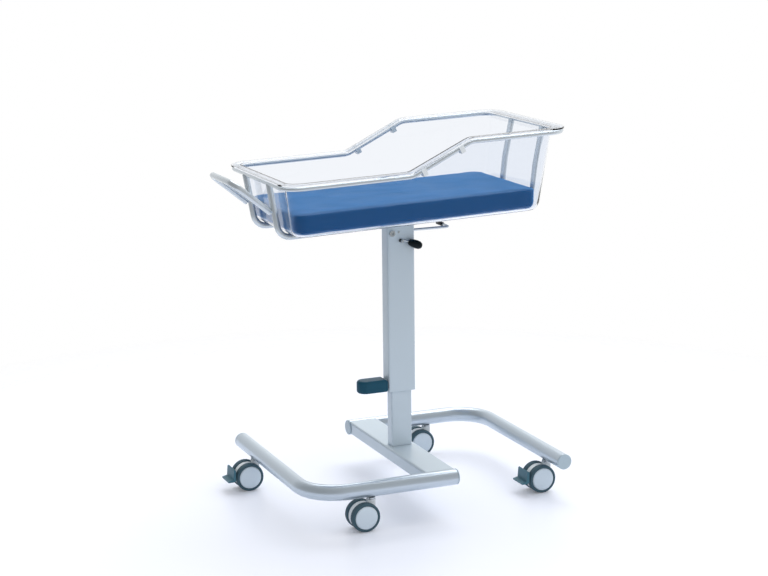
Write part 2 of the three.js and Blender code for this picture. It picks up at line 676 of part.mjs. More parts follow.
// Curved slot round the pivot for the clamp bolt, as a side outline
function clampSlot() {
  const radius = Math.hypot(CLAMP_X - PIVOT_X, CLAMP_Z - PIVOT_Z);
  const rest = Math.atan2(CLAMP_Z - PIVOT_Z, CLAMP_X - PIVOT_X);
  const half = CLAMP_DIAMETER / 2 + RUNNING_GAP;
  const inner = [];
  const outer = [];
  for (let i = 0; i <= SLOT_STEPS; i += 1) {
    const angle = rest + (SLOT_FROM_DEGREES + i / SLOT_STEPS * SLOT_SWEEP_DEGREES) * Math.PI / 180;
    const at = (r) => [PIVOT_X + r * Math.cos(angle), PIVOT_Z + r * Math.sin(angle)];
    inner.push(at(radius - half));
    outer.unshift(at(radius + half));
  }
  return [...inner, ...outer];
}

// Thin bent rod on the head side of the column, with its plastic end
function hookRod() {
  const start = OUTER_COLUMN_X / 2 + WELD_GAP;
  const axis = bendPath([
    [start, 0, HOOK_ROD_Z], [HOOK_ROD_X, 0, HOOK_ROD_Z], [HOOK_ROD_X, HOOK_RETURN_Y, HOOK_ROD_Z],
  ], HOOK_BEND_RADIUS);
  const rod = bentTube(axis, [0, 0, 1], HOOK_ROD_DIAMETER);
  return shaped([rod, lengthBar(0, HOOK_ROD_Z, start, start + HOOK_BOSS_LENGTH, HOOK_BOSS_DIAMETER, 24)]);
}

function hookEnd() {
  const start = HOOK_RETURN_Y - HOOK_END_LAP;
  const sleeve = crossBar(HOOK_ROD_X, HOOK_ROD_Z, start, start + HOOK_END_LENGTH, HOOK_END_DIAMETER, 20);
  const bore = HOOK_ROD_DIAMETER + 2 * WELD_GAP;
  return shaped([sleeve], [crossBar(HOOK_ROD_X, HOOK_ROD_Z, start - 1, HOOK_RETURN_Y + WELD_GAP, bore, 20)]);
}

// Basin frame
function cradleFootRise(y) {
  return [
    [RAIL_FOOT_X + CRADLE_FOOT_SETBACK, y, RAIL_LOW_Z - RAIL_DIAMETER / 2 + CRADLE_END_LAP],
    [CRADLE_FOOT_BEND_X, y, CRADLE_RUN_Z],
  ];
}

// Bent tube under the tub, notched at both ends to sit against the rail
function cradleTube(y) {
  const headTop = RAIL_HIGH_Z - RAIL_DIAMETER / 2 + CRADLE_END_LAP;
  const axis = bendPath([
    ...cradleFootRise(y),
    [CRADLE_HEAD_BEND_X, y, CRADLE_RUN_Z],
    [CRADLE_HEAD_KINK_X, y, headTop - CRADLE_HEAD_KINK_DROP],
    [RAIL_HEAD_X - CRADLE_HEAD_SETBACK, y, headTop],
  ], [0, CRADLE_BEND_RADIUS, CRADLE_BEND_RADIUS, CRADLE_KINK_RADIUS, 0]);
  const tube = bentTube(axis, [0, 1, 0], CRADLE_TUBE_DIAMETER, CRADLE_TUBE_WALL);
  const notch = RAIL_DIAMETER + 2 * WELD_GAP;
  const from = y - CRADLE_TUBE_DIAMETER;
  const to = y + CRADLE_TUBE_DIAMETER;
  return tipped(shaped([tube], [
    crossBar(RAIL_FOOT_X, RAIL_LOW_Z, from, to, notch, 24),
    crossBar(RAIL_HEAD_X, RAIL_HIGH_Z, from, to, notch, 24),
  ]));
}

function railCorners() {
  return [
    [RAIL_FOOT_X, -RAIL_Y, RAIL_LOW_Z], [RAIL_KINK_LOW_X, -RAIL_Y, RAIL_LOW_Z],
    [RAIL_KINK_HIGH_X, -RAIL_Y, RAIL_HIGH_Z], [RAIL_HEAD_X, -RAIL_Y, RAIL_HIGH_Z],
    [RAIL_HEAD_X, RAIL_Y, RAIL_HIGH_Z], [RAIL_KINK_HIGH_X, RAIL_Y, RAIL_HIGH_Z],
    [RAIL_KINK_LOW_X, RAIL_Y, RAIL_LOW_Z], [RAIL_FOOT_X, RAIL_Y, RAIL_LOW_Z],
  ];
}

function topRail() {
  const corner = RAIL_CORNER_RADIUS;
  const kink = RAIL_KINK_RADIUS;
  const axis = bendPath(railCorners(), [corner, kink, kink, corner, corner, kink, kink, corner], true);
  return tipped(bentTube(axis, [0, 0, 1], RAIL_DIAMETER, 0, true));
}

function pushHandle() {
  const rise = (HANDLE_GRIP_Z - HANDLE_JOIN_Z) / (HANDLE_GRIP_X - HANDLE_JOIN_X);
  const start = HANDLE_JOIN_X - HANDLE_START;
  const startZ = HANDLE_JOIN_Z - HANDLE_START * rise;
  const axis = bendPath([
    [start, -CRADLE_Y, startZ], [HANDLE_GRIP_X, -CRADLE_Y, HANDLE_GRIP_Z],
    [HANDLE_GRIP_X, CRADLE_Y, HANDLE_GRIP_Z], [start, CRADLE_Y, startZ],
  ], HANDLE_CORNER_RADIUS);
  const across = Math.hypot(1, rise);
  const bar = bentTube(axis, [-rise / across, 0, 1 / across], HANDLE_DIAMETER);
  const cope = CRADLE_TUBE_DIAMETER + 2 * WELD_GAP;
  const cuts = [-CRADLE_Y, CRADLE_Y].map((y) => bentTube(bendPath(cradleFootRise(y), 0), [0, 1, 0], cope));
  return tipped(shaped([bar], cuts));
}

// Small hooks under the sloping rail that hold the tub down
function railClip(side, x) {
  const slope = (RAIL_HIGH_Z - RAIL_LOW_Z) / (RAIL_KINK_HIGH_X - RAIL_KINK_LOW_X);
  const z = RAIL_LOW_Z + (x - RAIL_KINK_LOW_X) * slope;
  const length = CLIP_LENGTH / 2;
  const width = CLIP_WIDTH / 2;
  const rail = RAIL_DIAMETER / 2;
  const clip = block([-length, -width, -rail - CLIP_DROP], [length, width, rail - CLIP_LIP]);
  const groove = lengthBar(0, 0, -CLIP_LENGTH, CLIP_LENGTH, 2 * (rail + WELD_GAP), 24);
  const mouth = block([-CLIP_LENGTH, -rail - WELD_GAP, 0], [CLIP_LENGTH, rail + WELD_GAP, RAIL_DIAMETER]);
  const geometry = shaped([clip], [groove, mouth]);
  geometry.rotateY(-Math.atan(slope));
  return tipped(geometry.translate(x, side * RAIL_Y, z));
}

// Tub outline at a height, shrunk by an inset
function tubRing(z, inset) {
  const share = (z - TUB_FLOOR_Z) / (RAIL_HIGH_Z + TUB_MOUTH_RISE - TUB_FLOOR_Z);
  const mix = (key) => TUB_FLOOR[key] + (TUB_MOUTH[key] - TUB_FLOOR[key]) * share;
  const left = mix('foot') + inset;
  const right = mix('head') - inset;
  const outline = roundedOutline(left, right, mix('side') - inset, mix('corner') - inset, CORNER_STEPS);
  return outline.map(([x, y]) => [x, y, z]);
}

// Rings of the bowl from its rounded bottom edge to the top, all shrunk by an inset
function bowlRings(inset, top) {
  const rings = [];
  const rounding = TUB_BOTTOM_ROUNDING - inset;
  for (let i = 0; i <= EDGE_STEPS; i += 1) {
    const angle = i / EDGE_STEPS * Math.PI / 2;
    const z = TUB_FLOOR_Z + inset + rounding * (1 - Math.cos(angle));
    rings.push(tubRing(z, inset + rounding * (1 - Math.sin(angle))));
  }
  rings.push(tubRing(top, inset));
  return rings;
}

// Height of the rail line pushed up by an offset, as a side outline
function rimLine(offset) {
  const slope = Math.atan2(RAIL_HIGH_Z - RAIL_LOW_Z, RAIL_KINK_HIGH_X - RAIL_KINK_LOW_X);
  const shift = offset * Math.tan(slope / 2);
  const corners = [
    [2 * RAIL_FOOT_X, 0, RAIL_LOW_Z + offset], [RAIL_KINK_LOW_X - shift, 0, RAIL_LOW_Z + offset],
    [RAIL_KINK_HIGH_X - shift, 0, RAIL_HIGH_Z + offset], [2 * RAIL_HEAD_X, 0, RAIL_HIGH_Z + offset],
  ];
  const bend = [0, RAIL_KINK_RADIUS - offset, RAIL_KINK_RADIUS + offset, 0];
  return bendPath(corners, bend).map((point) => [point.x, point.z]);
}

// Clear tub: flared bowl whose brim lies on the rail
function tub() {
  const seat = RAIL_DIAMETER / 2 + WELD_GAP;
  const brim = seat + FLANGE_THICKNESS;
  const top = RAIL_HIGH_Z + TUB_MOUTH_RISE;
  const wide = 3 * RAIL_Y;
  const bowl = solidOf(loft(bowlRings(0, top)));
  const hollow = solidOf(loft(bowlRings(TUB_WALL, top + TUB_WALL)));
  const feet = [[2 * RAIL_HEAD_X, 0], [2 * RAIL_FOOT_X, 0]];
  const below = solidOf(sidePrism([...rimLine(brim), ...feet].reverse(), wide));
  const strip = solidOf(sidePrism([...rimLine(brim), ...rimLine(seat).reverse()].reverse(), wide));
  const outline = roundedOutline(RAIL_FOOT_X - FLANGE_OVERHANG, RAIL_HEAD_X + FLANGE_OVERHANG,
    RAIL_Y + FLANGE_OVERHANG, RAIL_CORNER_RADIUS + FLANGE_OVERHANG, CORNER_STEPS);
  const plan = solidOf(loft([0, 2 * RAIL_HIGH_Z].map((z) => outline.map(([x, y]) => [x, y, z]))));
  const solid = bowl.intersect(below).add(strip.intersect(plan)).subtract(hollow);
  return tipped(meshOf(solid));
}

// Mattress: padded block with softened edges that fills the tub floor
function mattress() {
  const bottom = TUB_FLOOR_Z + TUB_WALL + WELD_GAP;
  const inset = TUB_WALL + MATTRESS_SIDE_GAP;
  const rings = [];
  const edgeRing = (z, step, rounding, outward) => {
    const angle = step / EDGE_STEPS * Math.PI / 2;
    const pull = inset + rounding * (1 - Math.sin(angle));
    const height = z + outward * rounding * (1 - Math.cos(angle));
    rings.push(tubRing(bottom, pull).map(([x, y]) => [x, y, height]));
  };
  for (let i = 0; i <= EDGE_STEPS; i += 1) {
    edgeRing(bottom, i, MATTRESS_BOTTOM_ROUNDING, 1);
  }
  for (let i = EDGE_STEPS; i >= 0; i -= 1) {
    edgeRing(MATTRESS_TOP_Z, i, MATTRESS_TOP_ROUNDING, -1);
  }
  return tipped(loft(rings));
}

// Caster pieces drawn about the stem axis; the wheels trail towards -X
function casterStem() {
  const tubeBottom = FOOT_TUBE_AXIS_Z - FOOT_TUBE_DIAMETER / 2;
  return shaped([
    uprightBar(0, 0, STEM_BOTTOM_Z, STEM_TOP_Z, STEM_DIAMETER, 20),
    uprightBar(0, 0, HOOD_TOP_Z + RUNNING_GAP, tubeBottom - WELD_GAP, STEM_COLLAR, 24),
  ]);
}

function casterHood(braked) {
  const axleZ = WHEEL_DIAMETER / 2;
  const half = HOOD_THICKNESS / 2;
  const crownZ = HOOD_TOP_Z - HOOD_CROWN;
  const axleEnd = WHEEL_CENTRES / 2 + AXLE_REACH;
  const stemBore = STEM_DIAMETER + 2 * RUNNING_GAP;
  const web = crossBar(-CASTER_TRAIL, axleZ, -half, half, 2 * HOOD_RADIUS, WHEEL_STEPS);
  const post = block([-HOOD_POST_BACK, -half, STEM_BOTTOM_Z - HOOD_CROWN], [HOOD_POST_FRONT, half, crownZ]);
  const crown = uprightBar(0, 0, crownZ, HOOD_TOP_Z, HOOD_CROWN_DIAMETER, 24);
  const axle = crossBar(-CASTER_TRAIL, axleZ, -axleEnd, axleEnd, AXLE_DIAMETER, 20);
  const cuts = [uprightBar(0, 0, STEM_BOTTOM_Z - RUNNING_GAP, HOOD_TOP_Z + 1, stemBore, 20)];
  if (braked) {
    const hub = BRAKE_HUB_DIAMETER + 2 * RUNNING_GAP;
    const hubX = BRAKE_HUB_X - CASTER_TRAIL;
    const slotLow = BRAKE_HUB_Z - BRAKE_SLOT / 2;
    const through = HOOD_THICKNESS;
    cuts.push(crossBar(hubX, BRAKE_HUB_Z, -through, through, hub, 24));
    cuts.push(block([hubX - HOOD_RADIUS, -through, slotLow], [hubX, through, slotLow + BRAKE_SLOT]));
  }
  return shaped([web, post, crown, axle], cuts);
}

// Tyre: a ring of soft rubber with a rounded tread
function wheelTyre(y) {
  const r = WHEEL_DIAMETER / 2;
  const h = WHEEL_WIDTH / 2;
  const inner = r - TYRE_DEPTH;
  const soft = TYRE_ROUNDING;
  const profile = [[inner, -h], [r - soft, -h], [r - 0.23 * soft, -h + 0.67 * soft], [r, -h + 1.67 * soft],
    [r, h - 1.67 * soft], [r - 0.23 * soft, h - 0.67 * soft], [r - soft, h], [inner, h], [inner, -h]];
  const geometry = new THREE.LatheGeometry(profile.map(([a, b]) => new THREE.Vector2(a, b)), WHEEL_STEPS);
  return geometry.translate(-CASTER_TRAIL, y, r);
}

// Wheel disc: hub and closed outer face, with a blind bore for the axle
function wheelDisc(y) {
  const rim = WHEEL_DIAMETER / 2 - TYRE_DEPTH - WELD_GAP;
  const h = WHEEL_WIDTH / 2;
  const out = Math.sign(y);
  const bore = AXLE_DIAMETER / 2 + RUNNING_GAP;
  const profile = [[bore, -h + DISC_EDGE], [rim, -h + DISC_EDGE], [rim, h - DISC_EDGE],
    [rim - DISC_BEVEL, h + DISC_EDGE], [rim - DISC_CROWN, h + 1.8 * DISC_EDGE], [0, h + 2 * DISC_EDGE],
    [0, h - DISC_EDGE], [bore, h - DISC_EDGE], [bore, -h + DISC_EDGE]];
  const points = profile.map(([a, b]) => new THREE.Vector2(a, out * b));
  const geometry = new THREE.LatheGeometry(out > 0 ? points : points.reverse(), WHEEL_STEPS);
  return geometry.translate(-CASTER_TRAIL, y, WHEEL_DIAMETER / 2);
}

// Brake pedal: wide plate with a toe lip, on an arm that snaps into the hood
function brakePedal() {
  const half = HOOD_THICKNESS / 2;
  const face = -WHEEL_DIAMETER / 2 - BRAKE_TYRE_GAP;
  const back = face - BRAKE_PLATE;
  const toe = face - BRAKE_TOE_REACH;
  const soft = BRAKE_ROUNDING;
  const armLow = BRAKE_HUB_Z - BRAKE_ARM / 2;
  const hub = crossBar(BRAKE_HUB_X, BRAKE_HUB_Z, -half, half, BRAKE_HUB_DIAMETER, 24);
  const arm = block([face - BRAKE_PLATE / 2, -half, armLow], [BRAKE_HUB_X, half, armLow + BRAKE_ARM]);
  const plate = sidePrism([
    [face, BRAKE_TOE_Z + 2 * soft], [face, BRAKE_TOP_Z - soft], [face - BRAKE_PLATE / 2, BRAKE_TOP_Z],
    [back, BRAKE_TOP_Z - soft], [back - soft, BRAKE_TOE_Z + 3.5 * soft], [toe, BRAKE_TOE_Z + 1.75 * soft],
    [toe, BRAKE_TOE_Z], [back, BRAKE_TOE_Z],
  ].reverse(), BRAKE_WIDTH);
  return shaped([hub, arm, plate]).translate(-CASTER_TRAIL, 0, 0);
}

// Assembly of the base
addPiece('front_foot_tube', footTube(), SILVER_PAINT);
addPiece('rear_foot_tube', halfTurn(footTube()), SILVER_PAINT);
const capAtLegEnd = () => footCap().rotateX(Math.PI).translate(-LEG_X, LEG_END_Y, FOOT_TUBE_AXIS_Z);
const turnedCap = () => footCap().rotateZ(Math.PI / 2);
const capAtShortEnd = () => turnedCap().translate(SHORT_END_X, -FOOT_TUBE_Y, FOOT_TUBE_AXIS_Z);
addPiece('left_leg_cap', capAtLegEnd(), PALE_PLASTIC);
addPiece('right_leg_cap', halfTurn(capAtLegEnd()), PALE_PLASTIC);
addPiece('front_tube_cap', capAtShortEnd(), PALE_PLASTIC);
addPiece('rear_tube_cap', halfTurn(capAtShortEnd()), PALE_PLASTIC);
addPiece('cross_beam', crossBeam(), SILVER_PAINT);
addPiece('inner_column', innerColumn(), SILVER_PAINT);
addPiece('column_glide_upper', glide(INNER_COLUMN_TOP_Z - GLIDE_HEIGHT, INNER_COLUMN_TOP_Z), BLACK_PLASTIC);
addPiece('gas_spring_cylinder', springCylinder(), DARK_STEEL);

// Casters: two on the cross runs roll freely, two on the legs carry brakes
const casters = [
  { name: 'front', x: -FRONT_CASTER_X, y: -FOOT_TUBE_Y, braked: false },
  { name: 'left', x: -LEG_X, y: LEG_CASTER_Y, braked: true },
  { name: 'right', x: LEG_X, y: -LEG_CASTER_Y, braked: true },
  { name: 'rear', x: FRONT_CASTER_X, y: FOOT_TUBE_Y, braked: false },
];
for (const { name, x, y, braked } of casters) {
  addPiece(`${name}_caster_stem`, casterStem().translate(x, y, 0), BRIGHT_STEEL);
  addPiece(`${name}_caster_hood`, casterHood(braked).translate(x, y, 0), WHITE_PLASTIC);
  for (const [side, offset] of [['near', -WHEEL_CENTRES / 2], ['far', WHEEL_CENTRES / 2]]) {
    addPiece(`${name}_${side}_tyre`, wheelTyre(offset).translate(x, y, 0), TYRE_RUBBER);
    addPiece(`${name}_${side}_wheel`, wheelDisc(offset).translate(x, y, 0), PALE_PLASTIC);
  }
  if (braked) {
    addPiece(`${name}_brake_pedal`, brakePedal().translate(x, y, 0), TEAL_PLASTIC);
  }
}

// Assembly of the lifting column
addPiece('outer_column', outerColumn(), SILVER_PAINT);
const glideBottom = OUTER_COLUMN_BOTTOM_Z + GLIDE_INSET;
addPiece('column_glide_lower', glide(glideBottom, glideBottom + GLIDE_HEIGHT), BLACK_PLASTIC);
addPiece('gas_spring_rod', springRod(), BRIGHT_STEEL);
addPiece('pedal_lug', pedalLug(), DARK_STEEL);
addPiece('height_pedal', heightPedal(), BLACK_PLASTIC);
addPiece('pivot_bolt', pivotBolt(), BRIGHT_STEEL);
addPiece('stop_screw', stopScrew(), BRIGHT_STEEL);
addPiece('clamp_lever', clampLever(), BRIGHT_STEEL);
addPiece('clamp_hub', clampHub(), BLACK_PLASTIC);
addPiece('clamp_knob', clampKnob(), BLACK_PLASTIC);
addPiece('hook_rod', hookRod(), BRIGHT_STEEL);
addPiece('hook_end', hookEnd(), BLACK_PLASTIC);

// Assembly of the basin
addPiece('tilt_saddle', tiltSaddle(), SILVER_PAINT);
addPiece('near_cradle_tube', cradleTube(-CRADLE_Y), SILVER_PAINT);
addPiece('far_cradle_tube', cradleTube(CRADLE_Y), SILVER_PAINT);
addPiece('top_rail', topRail(), SILVER_PAINT);
addPiece('push_handle', pushHandle(), SILVER_PAINT);
for (const [name, side] of [['near', -1], ['far', 1]]) {
  addPiece(`${name}_lower_clip`, railClip(side, RAIL_KINK_LOW_X + CLIP_FROM_LOW_KINK), WHITE_PLASTIC);
  addPiece(`${name}_upper_clip`, railClip(side, RAIL_KINK_HIGH_X - CLIP_FROM_HIGH_KINK), WHITE_PLASTIC);
}
addPiece('tub', tub(), CLEAR_ACRYLIC);
addPiece('mattress', mattress(), BLUE_VINYL);

// The part's origin is on the floor below the middle of its outline
const box = new THREE.Box3().setFromObject(part);
const middle = box.getCenter(new THREE.Vector3());
for (const mesh of part.children) {
  mesh.geometry.translate(-middle.x, -middle.y, 0);
}

export default part;
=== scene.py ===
"""Looks of a hospital bassinet: surface finishes, bedding, white studio and camera."""

import math

import bpy
from mathutils import Matrix, Vector


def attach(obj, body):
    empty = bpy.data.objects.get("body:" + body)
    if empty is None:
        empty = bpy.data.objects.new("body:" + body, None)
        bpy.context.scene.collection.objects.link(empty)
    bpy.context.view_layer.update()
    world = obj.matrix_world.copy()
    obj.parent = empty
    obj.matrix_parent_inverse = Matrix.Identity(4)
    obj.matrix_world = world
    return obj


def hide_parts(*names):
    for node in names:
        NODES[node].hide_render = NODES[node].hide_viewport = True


MM = 0.001

# Camera, found by fitting the measured points of the object to the photograph, with angles in degrees
CAMERA_PLACE = (-1.90446, -4.53127, 1.61495)
CAMERA_YAW = 22.88
CAMERA_PITCH = 12.21
CAMERA_ROLL = -0.63
CAMERA_LENS = 90.56
SENSOR_WIDTH = 36.0

# Mattress cover, sewn over a foam block
COVER_START_INSET = 2.2 * MM
COVER_VOXEL = 4.0 * MM
COVER_PRESSURE = 4.0
COVER_FRAMES = 20
COVER_CLOTH_STEPS = 4
COVER_CLOTH_MASS = 0.3
COVER_MOST_MOVEMENT = 2.0 * MM
COVER_SUBDIVISION = 1
CREASE_SIZE = 90 * MM

# Rounding put on the edges of the hard pieces, by how the piece is made
EDGE_ANGLE = math.radians(38)
EDGE_SEGMENTS = 2
EDGE_SHEET_METAL = 0.9 * MM
EDGE_MOULDED = 1.4 * MM
EDGE_SMALL = 0.4 * MM
WELD_DISTANCE = 0.01 * MM

# The part of a noise's values where most of it lies
NOISE_LOW = 0.3
NOISE_HIGH = 0.7

# Light of the room by direction: dimmer at the foot end, on the camera's side and overhead
ROOM_LEVELS = {
    "X": {"From Min": -0.9, "From Max": -0.1, "To Min": 0.35, "To Max": 1.0},
    "Y": {"From Min": -0.9, "From Max": -0.1, "To Min": 0.45, "To Max": 1.0},
    "Z": {"From Min": 0.12, "From Max": 0.85, "To Min": 1.0, "To Max": 0.5},
}
ROOM_FILL = 0.95

# Round white floor and the light over it
FLOOR_GLOW = 0.12
FLOOR_RADIUS = 1.9
FLOOR_FADE_FROM = 1.0
FLOOR_SIDES = 96
SUN_STRENGTH = 1.4
SUN_SPREAD = math.radians(48)
SUN_FROM = (0.45, 0.5, 1.0)

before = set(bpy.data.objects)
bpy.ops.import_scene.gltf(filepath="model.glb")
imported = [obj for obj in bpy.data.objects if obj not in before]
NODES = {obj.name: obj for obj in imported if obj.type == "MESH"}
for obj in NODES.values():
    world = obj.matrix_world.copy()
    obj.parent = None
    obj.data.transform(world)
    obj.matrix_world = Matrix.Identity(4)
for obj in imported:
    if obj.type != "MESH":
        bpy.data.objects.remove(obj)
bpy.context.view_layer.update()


def linear(hex_colour):
    """The linear colour of an sRGB hex colour."""
    channels = [int(hex_colour[i:i + 2], 16) / 255 for i in (1, 3, 5)]
    curved = [c / 12.92 if c <= 0.04045 else ((c + 0.055) / 1.055) ** 2.4 for c in channels]
    return (*curved, 1.0)


def add_node(tree, kind, settings=None, links=None):
    """Adds a node, sets its properties or input values, and links its inputs."""
    node = tree.nodes.new(kind)
    for name, value in (settings or {}).items():
        if isinstance(name, int) or name in node.inputs:
            node.inputs[name].default_value = value
        else:
            setattr(node, name, value)
    for name, source in (links or {}).items():
        tree.links.new(source, node.inputs[name])
    return node


def add_object(name, data):
    """A new object in the scene."""
    added = bpy.data.objects.new(name, data)
    bpy.context.scene.collection.objects.link(added)
    return added


def plain_material(name, colour, roughness, metallic=0.0, specular=0.5):
    """A principled material with its constant values on the shader's own sockets."""
    material = bpy.data.materials.new(name)
    material.use_nodes = True
    shader = material.node_tree.nodes["Principled BSDF"]
    shader.inputs["Base Color"].default_value = linear(colour)
    shader.inputs["Roughness"].default_value = roughness
    shader.inputs["Metallic"].default_value = metallic
    shader.inputs["Specular IOR Level"].default_value = specular
    return material, material.node_tree, shader


def object_noise(tree, size, detail=2.0):
    """Noise fixed to the object, with features of a given size in metres."""
    place = add_node(tree, "ShaderNodeTexCoord")
    return add_node(
        tree, "ShaderNodeTexNoise",
        {"Scale": 1.0 / size, "Detail": detail},
        {"Vector": place.outputs["Object"]},
    )


def bumps(tree, shader, size, height, detail=2.0, strength=1.0):
    """Bumps over the surface, of one size and one height in metres."""
    noise = object_noise(tree, size, detail)
    bump = add_node(
        tree, "ShaderNodeBump",
        {"Strength": strength, "Distance": height},
        {"Height": noise.outputs["Fac"]},
    )
    tree.links.new(bump.outputs["Normal"], shader.inputs["Normal"])


def uneven_gloss(tree, shader, size, smoothest, roughest):
    """Gloss that wanders a little over the surface, as on handled parts."""
    noise = object_noise(tree, size)
    spread = add_node(
        tree, "ShaderNodeMapRange",
        {"From Min": NOISE_LOW, "From Max": NOISE_HIGH, "To Min": smoothest, "To Max": roughest},
        {"Value": noise.outputs["Fac"]},
    )
    tree.links.new(spread.outputs["Result"], shader.inputs["Roughness"])


def silver_powder_coat():
    """Silver powder coat: soft broad highlights with a faint orange-peel texture."""
    material, tree, shader = plain_material(
        "silver_powder_coated_steel", "#C8D6E0", roughness=0.34, metallic=0.2,
    )
    bumps(tree, shader, size=1.2 * MM, height=0.012 * MM)
    uneven_gloss(tree, shader, size=40 * MM, smoothest=0.29, roughest=0.37)
    return material


def satin_tube():
    """Satin silver tube: a bright band between darker ones along its length."""
    material, tree, shader = plain_material(
        "satin_silver_steel_tube", "#C8D4DE", roughness=0.3, metallic=0.65,
    )
    bumps(tree, shader, size=1.2 * MM, height=0.004 * MM)
    return material


def polished_tube():
    """Bright polished tube: a tight highlight between darker edges."""
    return plain_material("polished_steel_tube", "#D2DAE0", roughness=0.24, metallic=0.65)[0]


def zinc_plate():
    """Zinc-plated steel: bright with a faint mottled sheen."""
    material, tree, shader = plain_material(
        "zinc_plated_steel", "#BFC6CA", roughness=0.28, metallic=1.0,
    )
    uneven_gloss(tree, shader, size=6 * MM, smoothest=0.22, roughest=0.36)
    return material


def black_oxide():
    """Black-oxide steel: dark with a dull metallic edge."""
    material, tree, shader = plain_material(
        "black_oxide_steel", "#45494B", roughness=0.42, metallic=0.8,
    )
    bumps(tree, shader, size=0.8 * MM, height=0.01 * MM)
    return material


def moulded(name, colour, roughness, specular=0.5):
    """Moulded plastic: an even colour with the fine grain of the mould."""
    material, tree, shader = plain_material(name, colour, roughness, specular=specular)
    bumps(tree, shader, size=0.9 * MM, height=0.01 * MM)
    return material


def tyre_rubber():
    """Grey tyre rubber: matt, with a fine grain."""
    material, tree, shader = plain_material(
        "grey_tyre_rubber", "#435D69", roughness=0.62, specular=0.25,
    )
    bumps(tree, shader, size=1.5 * MM, height=0.05 * MM)
    return material


def coated_fabric():
    """Blue vinyl-coated fabric: a soft sheen over shallow creases."""
    material, tree, shader = plain_material(
        "blue_vinyl_coated_fabric", "#165287", roughness=0.5, specular=0.1,
    )
    shader.inputs["Sheen Weight"].default_value = 1.0
    shader.inputs["Sheen Roughness"].default_value = 0.4
    shader.inputs["Sheen Tint"].default_value = linear("#6CB8FF")
    bumps(tree, shader, size=CREASE_SIZE, height=6.0 * MM, detail=0.6, strength=0.8)
    uneven_gloss(tree, shader, size=CREASE_SIZE, smoothest=0.42, roughest=0.56)
    return material


def clear_acrylic():
    """Clear cast acrylic: pale walls with bright lines at bends, casting almost no shadow."""
    material, tree, shader = plain_material("clear_cast_acrylic", "#F3F6FB", roughness=0.02)
    shader.inputs["Transmission Weight"].default_value = 1.0
    shader.inputs["IOR"].default_value = 1.49
    shader.inputs["Specular Tint"].default_value = linear("#6E6E6E")
    path = add_node(tree, "ShaderNodeLightPath")
    soft_light = add_node(
        tree, "ShaderNodeMath", {"operation": "MAXIMUM"},
        {0: path.outputs["Is Shadow Ray"], 1: path.outputs["Is Diffuse Ray"]},
    )
    clear = add_node(tree, "ShaderNodeBsdfTransparent", {"Color": linear("#F4F8FA")})
    either = add_node(
        tree, "ShaderNodeMixShader", {},
        {0: soft_light.outputs["Value"], 1: shader.outputs["BSDF"], 2: clear.outputs["BSDF"]},
    )
    tree.links.new(either.outputs["Shader"], tree.nodes["Material Output"].inputs["Surface"])
    return material


FINISHES = {
    "silver_paint": silver_powder_coat(),
    "satin_tube": satin_tube(),
    "tube_silver": polished_tube(),
    "bright_steel": zinc_plate(),
    "dark_steel": black_oxide(),
    "black_plastic": moulded("moulded_black_plastic", "#05141A", roughness=0.36, specular=0.15),
    "pale_plastic": moulded("moulded_pale_grey_plastic", "#D3E1EC", roughness=0.3),
    "grey_plastic": moulded("moulded_grey_plastic", "#B2C4CF", roughness=0.32),
    "white_plastic": moulded("moulded_white_plastic", "#E4EAEE", roughness=0.3),
    "tyre_rubber": tyre_rubber(),
    "teal_plastic": moulded("moulded_grey_teal_plastic", "#406D7D", roughness=0.4, specular=0.3),
    "pedal_plastic": moulded("moulded_dark_teal_plastic", "#174E64", roughness=0.42, specular=0.2),
    "blue_vinyl": coated_fabric(),
    "clear_acrylic": clear_acrylic(),
}

CASTERS = ("front", "left", "right", "rear")
ROLLERS = [f"{caster}_{side}" for caster in CASTERS for side in ("near", "far")]

# Round bent tubes and bars, which have no flat faces to keep flat
BENT_TUBES = ["near_cradle_tube", "far_cradle_tube", "top_rail", "push_handle", "hook_rod"]

# Which hard nodes have which finish, and how far their edges are rounded
DRESSED_NODES = [
    ("silver_paint", EDGE_SHEET_METAL, [
        "cross_beam", "outer_column", "inner_column", "pedal_lug", "tilt_saddle",
    ]),
    ("satin_tube", EDGE_SHEET_METAL, ["front_foot_tube", "rear_foot_tube"]),
    ("tube_silver", EDGE_SMALL, BENT_TUBES),
    ("bright_steel", EDGE_SMALL, [
        "pivot_bolt", "stop_screw", "clamp_lever", "gas_spring_rod",
        *[f"{caster}_caster_stem" for caster in CASTERS],
    ]),
    ("dark_steel", EDGE_SMALL, ["gas_spring_cylinder"]),
    ("black_plastic", EDGE_MOULDED, [
        "clamp_knob", "clamp_hub", "hook_end", "column_glide_upper", "column_glide_lower",
    ]),
    ("pedal_plastic", EDGE_SMALL, ["height_pedal"]),
    ("grey_plastic", EDGE_MOULDED, [
        "left_leg_cap", "right_leg_cap", "front_tube_cap", "rear_tube_cap",
    ]),
    ("pale_plastic", EDGE_MOULDED, [f"{roller}_wheel" for roller in ROLLERS]),
    ("white_plastic", EDGE_SMALL, [
        "near_lower_clip", "near_upper_clip", "far_lower_clip", "far_upper_clip",
        *[f"{caster}_caster_hood" for caster in CASTERS],
    ]),
    ("tyre_rubber", EDGE_MOULDED, [f"{roller}_tyre" for roller in ROLLERS]),
    ("teal_plastic", EDGE_MOULDED, ["left_brake_pedal", "right_brake_pedal"]),
    ("clear_acrylic", EDGE_SMALL, ["tub"]),
]


def put_finish(piece, finish):
    """Gives a piece one finish and smooth shading."""
    piece.data.materials.clear()
    piece.data.materials.append(FINISHES[finish])
    piece.data.polygons.foreach_set("use_smooth", [True] * len(piece.data.polygons))


def clear_split_normals(piece):
    """Drops the flat normals that came with the node."""
    attribute = piece.data.attributes.get("custom_normal")
    if attribute:
        piece.data.attributes.remove(attribute)


